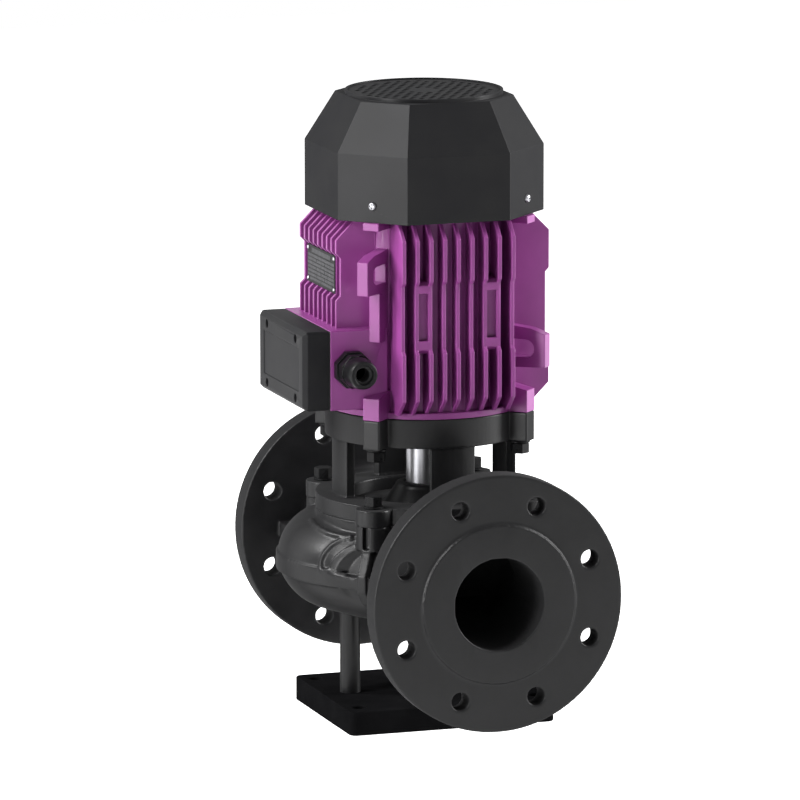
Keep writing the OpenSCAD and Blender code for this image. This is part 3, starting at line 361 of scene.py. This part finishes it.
def joined_copy(node):
    """A CAD node's mesh as one skin, with its flat faces whole again."""
    mesh = bmesh.new()
    mesh.from_mesh(nodes[node].data)
    bmesh.ops.remove_doubles(mesh, verts=mesh.verts, dist=0.002 * MM)
    bmesh.ops.dissolve_limit(mesh, angle_limit=math.radians(0.3), verts=mesh.verts, edges=mesh.edges)
    for face in mesh.faces:
        face.material_index = 0
    return mesh


def round_edges(made, width):
    """Rounds a piece's sharp edges by width mm."""
    bevel = made.modifiers.new("rounded_edges", "BEVEL")
    bevel.width, bevel.segments, bevel.limit_method = width * MM, 2, "ANGLE"
    bevel.angle_limit = math.radians(28)
    bevel.use_clamp_overlap = False
    bevel.harden_normals = True


def eased(node, width, mesh=None):
    """A node's shape with rounded edges, as a die, a mould or a file leaves them."""
    made = settle("eased_" + node, mesh or joined_copy(node), FINISH_OF[node], node, [node])
    round_edges(made, width)


BALL_STEP = 1.2


def bead(mesh, radius, path):
    """A raised bead along a path of points, all in mm: overlapping balls that the skin joins."""
    for start, end in zip(path, path[1:]):
        span = Vector(end) - Vector(start)
        steps = max(1, round(span.length / BALL_STEP))
        for i in range(steps + 1):
            middle = (Vector(start) + span * i / steps) * MM
            bmesh.ops.create_icosphere(mesh, subdivisions=2, radius=radius * MM,
                                       matrix=Matrix.Translation(middle))


def sand_cast(node, voxel, passes, keep, beads=()):
    """A node's shape with every edge and corner softened, as a sand mould leaves them.

    The skin is remeshed at voxel mm and smoothed in passes; a share keep of its faces is kept.
    """
    mesh = joined_copy(node)
    for radius, path in beads:
        bead(mesh, radius, path)
    made = settle("cast_" + node, mesh, FINISH_OF[node], node, [node], crease=180)
    skin = made.modifiers.new("sand_skin", "REMESH")
    skin.mode, skin.voxel_size, skin.use_smooth_shade = "VOXEL", voxel * MM, True
    soft = made.modifiers.new("soft_corners", "SMOOTH")
    soft.factor, soft.iterations = 0.5, passes
    lean = made.modifiers.new("fewer_faces", "DECIMATE")
    lean.ratio = keep


HOME = [Matrix.Identity(4)]


def gather(build, places):
    """One bmesh that holds what a builder makes, at each place."""
    whole = bmesh.new()
    for place in places:
        single = bmesh.new()
        build(single)
        bmesh.ops.transform(single, matrix=place, verts=single.verts)
        part = bpy.data.meshes.new("part")
        single.to_mesh(part)
        single.free()
        whole.from_mesh(part)
        bpy.data.meshes.remove(part)
    return whole


def cut(build, tool_build):
    """What one builder makes, less what another makes, as a bmesh."""
    things = []
    for make in (build, tool_build):
        mesh, data = bmesh.new(), bpy.data.meshes.new("cut")
        make(mesh)
        mesh.to_mesh(data)
        mesh.free()
        things.append(placed("cut", data))
    step = things[0].modifiers.new("step", "BOOLEAN")
    step.operation, step.solver, step.object, step.use_self = "DIFFERENCE", "EXACT", things[1], True
    finished = things[0].evaluated_get(bpy.context.evaluated_depsgraph_get())
    result = bmesh.new()
    result.from_mesh(finished.data)
    for thing in things:
        bpy.data.objects.remove(thing)
    return result


def block(mesh, low, high):
    """A box between two corners in mm."""
    size = [(b - a) * MM for a, b in zip(low, high)]
    centre = Vector([(a + b) / 2 * MM for a, b in zip(low, high)])
    bmesh.ops.create_cube(mesh, size=1,
                          matrix=Matrix.Translation(centre) @ Matrix.Diagonal((*size, 1)))


def turned(mesh, profile, steps, closed=False):
    """Spins a profile of (radius, height) points in mm round Z."""
    points = [mesh.verts.new((r * MM, 0, z * MM)) for r, z in profile]
    pairs = list(zip(points, points[1:])) + ([(points[-1], points[0])] if closed else [])
    lines = [mesh.edges.new(pair) for pair in pairs]
    bmesh.ops.spin(mesh, geom=points + lines, cent=(0, 0, 0), axis=(0, 0, 1),
                   angle=2 * math.pi, steps=steps, use_merge=True)
    bmesh.ops.remove_doubles(mesh, verts=mesh.verts, dist=0.002 * MM)
    bmesh.ops.recalc_face_normals(mesh, faces=mesh.faces)


def hexagon(mesh, across_flats, height, chamfer, low, broken=0.14):
    """A bolt's head standing on z = low, with its upper rim chamfered and its edges broken, in mm."""
    radius, straight = across_flats / 2 / math.cos(math.pi / 6), height - chamfer
    made = bmesh.ops.create_cone(
        mesh, cap_ends=True, segments=6, radius1=radius * MM, radius2=radius * MM,
        depth=straight * MM, matrix=Matrix.Translation((0, 0, (low + straight / 2) * MM)))["verts"]
    faces = {face for vert in made for face in vert.link_faces}
    top = max(faces, key=lambda face: face.calc_center_median().z)
    bmesh.ops.inset_individual(mesh, faces=[top], thickness=1.6 * chamfer * MM, depth=chamfer * MM)
    edges = {edge for vert in made for edge in vert.link_edges}
    bmesh.ops.bevel(mesh, geom=list(edges), offset=broken * MM, offset_type="OFFSET", segments=1,
                    profile=0.5, affect="EDGES", material=-1)


def around(radius, height, turn=0.0, flip=False):
    """The four places on the diagonals, at a radius and height in mm, each turned by turn degrees."""
    over = Matrix.Rotation(math.pi, 4, "X") if flip else Matrix.Identity(4)
    own = Matrix.Rotation(math.radians(turn), 4, "Z") @ over
    out = Matrix.Translation((radius * MM, 0, height * MM))
    return [Matrix.Rotation(math.radians(a), 4, "Z") @ out @ own for a in (45, 135, 225, 315)]


# Bolts of the casing and of the motor: M8 with a chamfered hexagon head on a thin collar

BOLT_AF, BOLT_HEAD, HEAD_CHAMFER = 13, 7.8, 0.5
BOLT_R, COLLAR_R, COLLAR_T = 4, 6.2, 0.6
WASHER_BORE_R, WASHER_R, WASHER_T, WASHER_EDGE = 4.1, 8.0, 1.6, 0.3
CASING_BOLTS_R, MOTOR_BOLTS_R = 88, 83


def hexagon_bolt(shank):
    """A builder of a bolt whose head starts at z = 0 and whose shank goes shank mm down."""
    def build(mesh):
        hexagon(mesh, BOLT_AF, BOLT_HEAD, HEAD_CHAMFER, low=COLLAR_T)
        collar_top = COLLAR_T + 0.02    # just inside the head
        turned(mesh, [(0, collar_top), (COLLAR_R - 0.2, collar_top), (COLLAR_R, COLLAR_T / 2),
                      (COLLAR_R, 0), (BOLT_R, 0), (BOLT_R, -shank), (0, -shank)], 24)
    return build


def plain_washer(mesh):
    """A washer with bevelled outer edges, on z = 0."""
    turned(mesh, [(WASHER_BORE_R, 0), (WASHER_R - WASHER_EDGE, 0), (WASHER_R, WASHER_EDGE),
                  (WASHER_R, WASHER_T - WASHER_EDGE), (WASHER_R - WASHER_EDGE, WASHER_T),
                  (WASHER_BORE_R, WASHER_T)], 32, closed=True)


low_bolt, high_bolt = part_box("cover_bolts"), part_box("motor_bolts")
low_washer, high_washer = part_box("cover_washers"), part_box("motor_washers")
casing_seat = low_washer[1].z / MM
bracket_seat = high_washer[0].z / MM
casing_shank = casing_seat - low_bolt[0].z / MM
motor_shank = high_bolt[1].z / MM - bracket_seat
settle("casing_hexagon_bolts",
       gather(hexagon_bolt(casing_shank), around(CASING_BOLTS_R, casing_seat, turn=-4)),
       oxide_steel, "cover_bolts", ["cover_bolts"], crease=24)
settle("motor_hexagon_bolts",
       gather(hexagon_bolt(motor_shank), around(MOTOR_BOLTS_R, bracket_seat, turn=-19, flip=True)),
       oxide_steel, "motor_bolts", ["motor_bolts"], crease=24)
settle("casing_washers", gather(plain_washer, around(CASING_BOLTS_R, low_washer[0].z / MM)),
       oxide_steel, "cover_washers", ["cover_washers"])
settle("motor_washers_bevelled", gather(plain_washer, around(MOTOR_BOLTS_R, bracket_seat)),
       oxide_steel, "motor_washers", ["motor_washers"])

# Nameplate: a black plate with bare grey fields and rules, held by four domed rivets

RIVET_R = 1.55
FIELD_T, FIELD_GAP, FIELD_ROWS = 0.1, 0.9, 7
HEADER_SIDE, HEADER_TOP, HEADER_FOOT = 11, 1.8, 5.4     # from the plate's sides and its top
ROWS_TOP, ROWS_FOOT, ROW_SIDE, LAST_ROW_SIDE = 6.8, 1.4, 1.2, 6
WHOLE, HALVES, THIRDS = [(0, 1)], [(0, 0.5), (0.5, 1)], [(0, 0.36), (0.36, 0.68), (0.68, 1)]
plate_low, plate_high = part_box("nameplate")
rivet_low, rivet_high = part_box("nameplate_rivets")


def plate_fields(mesh):
    """Grey fields proud of the plate: a header, then rows whose gaps are the rules."""
    face, y0, z0 = (v / MM for v in plate_low)
    y1, z1 = plate_high.y / MM, plate_high.z / MM
    front = face - FIELD_T
    block(mesh, (front, y0 + HEADER_SIDE, z1 - HEADER_FOOT), (face, y1 - HEADER_SIDE, z1 - HEADER_TOP))
    top = z1 - ROWS_TOP
    step = (top - (z0 + ROWS_FOOT)) / FIELD_ROWS
    for row in range(FIELD_ROWS):
        upper = top - row * step
        lower = upper - step + FIELD_GAP
        side = LAST_ROW_SIDE if row == FIELD_ROWS - 1 else ROW_SIDE     # the last fits between rivets
        left, width = y0 + side, y1 - y0 - 2 * side
        for a, b in WHOLE if row == 0 else THIRDS if row % 2 else HALVES:
            block(mesh, (front, left + a * width + FIELD_GAP / 2, lower),
                  (face, left + b * width - FIELD_GAP / 2, upper))


def facing_left(x, y, z):
    """A place whose own Z points to -X, in mm."""
    return Matrix.Translation((x * MM, y * MM, z * MM)) @ Matrix.Rotation(-math.pi / 2, 4, "Y")


def domed_rivet(mesh):
    """A rivet's head, 1.1 mm high."""
    turned(mesh, [(0, 1.1), (0.7, 1.0), (1.25, 0.65), (RIVET_R, 0.15), (RIVET_R, 0), (0, 0)], 20)


settle("nameplate_domed_rivets",
       gather(domed_rivet, [facing_left(plate_low.x / MM, y, z)
                            for y in (rivet_low.y / MM + RIVET_R, rivet_high.y / MM - RIVET_R)
                            for z in (rivet_low.z / MM + RIVET_R, rivet_high.z / MM - RIVET_R)]),
       zinc_steel, "nameplate_rivets", ["nameplate_rivets"])
settle("nameplate_fields", gather(plate_fields, HOME), plate_grey, "nameplate")


# Cowl screws: pan heads with a cross recess

SCREWS_R = 88.74        # where the heads rest on the cowl's skirt


def pan_head(mesh):
    """A pan head 6.6 mm wide."""
    turned(mesh, [(0, 2.4), (1.6, 2.3), (2.6, 1.8), (3.2, 0.8), (3.3, 0), (0, 0)], 28)


def cross(mesh):
    """A driver's cross, 4 mm across and 1 mm thick."""
    block(mesh, (-2.0, -0.5, 1.2), (2.0, 0.5, 3.2))
    block(mesh, (-0.5, -2.0, 1.2), (0.5, 2.0, 3.2))


cross_head = bpy.data.meshes.new("cross_head")
cut(pan_head, cross).to_mesh(cross_head)

screw_low, screw_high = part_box("cowl_screws")
screw_z = (screw_low.z + screw_high.z) / 2 / MM
outward = Matrix.Rotation(math.pi / 2, 4, "Y")
settle("cowl_cross_screws",
       gather(lambda mesh: mesh.from_mesh(cross_head),
              [place @ outward for place in around(SCREWS_R, screw_z)]),
       zinc_steel, "cowl_screws", ["cowl_screws"])


# Castings, mouldings and sheet

# Two beads on the volute: along the foot of its neck ring, and round the arch where its outlet starts
FOOT_BEAD = [(-90.1, 7.1, 156.4), (-91.4, -3.2, 155.1), (-91.1, -11.3, 154.1), (-89.7, -20.4, 153.1),
             (-87.5, -27.9, 152.3), (-84.6, -34.2, 151.8), (-81.4, -39.4, 151.6), (-77.9, -44.1, 151.5),
             (-75.5, -47.2, 151.5)]
ARCH_BEAD = [(-77.7, -46.4, 150.5), (-81.7, -43.4, 149.3), (-85.9, -41.0, 147.2), (-89.8, -39.6, 144.0),
             (-93.0, -38.4, 140.3), (-95.4, -37.8, 136.5), (-96.8, -37.7, 132.7), (-97.5, -38.2, 129.1),
             (-97.6, -41.2, 126.2), (-93.2, -47.6, 125.6), (-88.6, -54.6, 125.3), (-83.6, -60.8, 125.2)]
sand_cast("volute_casing", voxel=1.0, passes=4, keep=0.19,
          beads=[(2.4, FOOT_BEAD), (3.2, FOOT_BEAD[-1:] * 2), (2.0, ARCH_BEAD)])
sand_cast("lantern", voxel=0.8, passes=3, keep=0.4)
sand_cast("casing_cover", voxel=1.0, passes=3, keep=0.4)


CAST_EDGE = 0.6
LUG_TURN = Matrix.Rotation(math.radians(225), 3, "Z")     # from +X to the front left lug
RIB_R, LUG_SLOPE = 85.5, 0.047                          # the rib's new edge; the lug's underside
RIB_TIP = ((86.2, 97), (-2.6, 2.6), (300, 345.6))       # where the old edge lies: out, across, up
BAR_LOW, BAR_HIGH = (66, -4.6, 306.5), (86.1, 4.6, 344.8)


def upright_rib(mesh):
    """Stands the slanting outer edge of the thin rib under the front left lifting lug upright."""
    for vert in mesh.verts:
        place = LUG_TURN.inverted() @ vert.co / MM
        if all(low < value < high for value, (low, high) in zip(place, RIB_TIP)):
            lowered = place.z - LUG_SLOPE * (place.x - RIB_R)
            vert.co = LUG_TURN @ Vector((RIB_R, place.y, lowered)) * MM


def lug_bar(mesh):
    """The upright bar under that lug, down to the terminal box."""
    block(mesh, BAR_LOW, BAR_HIGH)
    bmesh.ops.rotate(mesh, verts=mesh.verts, cent=(0, 0, 0), matrix=LUG_TURN)


housing = joined_copy("motor_housing")
upright_rib(housing)
eased("motor_housing", CAST_EDGE, mesh=housing)
round_edges(settle("lug_upright_bar", gather(lug_bar, HOME), enamel, "motor_housing"), CAST_EDGE)
eased("base_plate", 1.0)
eased("terminal_cover", 0.5)
eased("fan_cowl", 0.35)
eased("support_legs", 0.4)
eased("cowl_grille", 0.25)
eased("gland_body", 0.4)
eased("gland_nut", 0.5)


SEAT_R, SEAT_INNER_R, SEAT_LOW, SEAT_HIGH = 14.03, 13.6, 165, 222.9


def ground_seat(mesh):
    """The shaft's ground length between the cover's hub and the bracket's head, 0.03 mm proud."""
    turned(mesh, [(SEAT_INNER_R, SEAT_LOW), (SEAT_R, SEAT_LOW + 0.3), (SEAT_R, SEAT_HIGH - 0.3),
                  (SEAT_INNER_R, SEAT_HIGH)], 96, closed=True)


settle("shaft_ground_seat", gather(ground_seat, HOME), shaft_steel, "motor_shaft")
for node in ("motor_shaft", "cooling_fan", "gland_seal", "terminal_gasket", "terminal_screws"):
    settle("smooth_" + node, joined_copy(node), FINISH_OF[node], node, [node])


# Floor, light and background

FLOOR_LIFT = 0.93       # what the floor needs, over the lamps' light on it, to be seen as white
AIR_LIGHT = 0.02        # light from all round, so that no crease is quite black


def seen_rays(tree):
    """1 for what the camera, a mirror or a glass sees, 0 for light that falls on a surface."""
    rays = add(tree, "ShaderNodeLightPath").outputs
    seen = add(tree, "ShaderNodeMath", [(0, rays["Is Camera Ray"]), (1, rays["Is Glossy Ray"])],
               operation="MAXIMUM")
    return add(tree, "ShaderNodeMath", [(0, seen.outputs[0]), (1, rays["Is Transmission Ray"])],
               operation="MAXIMUM").outputs[0]


def paper_floor():
    """A matt white sheet that glows where it is seen, so only the pump's shadow shows on it."""
    mesh = bmesh.new()
    bmesh.ops.create_grid(mesh, x_segments=1, y_segments=1, size=4)
    data = bpy.data.meshes.new("studio_floor")
    mesh.to_mesh(data)
    mesh.free()
    floor = placed("studio_floor", data)
    paper, tree, shader = finish("matt_white_paper", "#e8e8e8", 0.9)
    lift = add(tree, "ShaderNodeMath", [(0, seen_rays(tree))], operation="MULTIPLY")
    lift.inputs[1].default_value = FLOOR_LIFT
    glow = add(tree, "ShaderNodeEmission", [("Strength", lift.outputs[0])])
    glow.inputs["Color"].default_value = (1, 1, 1, 1)
    both = add(tree, "ShaderNodeAddShader", [(0, shader.outputs[0]), (1, glow.outputs[0])])
    tree.links.new(tree.nodes["Material Output"].inputs["Surface"], both.outputs[0])
    data.materials.append(paper)


paper_floor()

world = bpy.data.worlds.new("studio_air")
bpy.context.scene.world = world
world.use_nodes = True
air = world.node_tree
dim = air.nodes["Background"]
dim.inputs["Color"].default_value = (1, 1, 1, 1)
dim.inputs["Strength"].default_value = AIR_LIGHT
white = add(air, "ShaderNodeBackground", in_Color=(1, 1, 1, 1), in_Strength=1.0)
either = add(air, "ShaderNodeMixShader",
             [(0, seen_rays(air)), (1, dim.outputs[0]), (2, white.outputs[0])])
air.links.new(air.nodes["World Output"].inputs["Surface"], either.outputs[0])


PUMP_MIDDLE = Vector((0, 0, 0.28))


def softbox(name, azimuth, elevation, distance, width, height, watts):
    """A rectangular soft light that faces the middle of the pump, at an azimuth from the front."""
    lamp = placed(name, bpy.data.lights.new(name, "AREA"))
    lamp.data.shape = "RECTANGLE"
    lamp.data.size, lamp.data.size_y, lamp.data.energy = width, height, watts
    a, e = math.radians(azimuth), math.radians(elevation)
    way = Vector((math.sin(a) * math.cos(e), -math.cos(a) * math.cos(e), math.sin(e)))
    lamp.location = PUMP_MIDDLE + distance * way
    lamp.rotation_euler = way.to_track_quat("Z", "Y").to_euler()


softbox("left_low_strip", -71, 7, 1.7, 0.4, 0.8, 18)
softbox("left_high_softbox", -74, 42, 2.0, 0.5, 0.9, 24)
softbox("left_back_softbox", -113, 34, 2.0, 0.5, 0.9, 38)
softbox("right_softbox", 82, 18, 2.4, 0.6, 1.5, 125)

bpy.context.scene.view_settings.view_transform = "Standard"
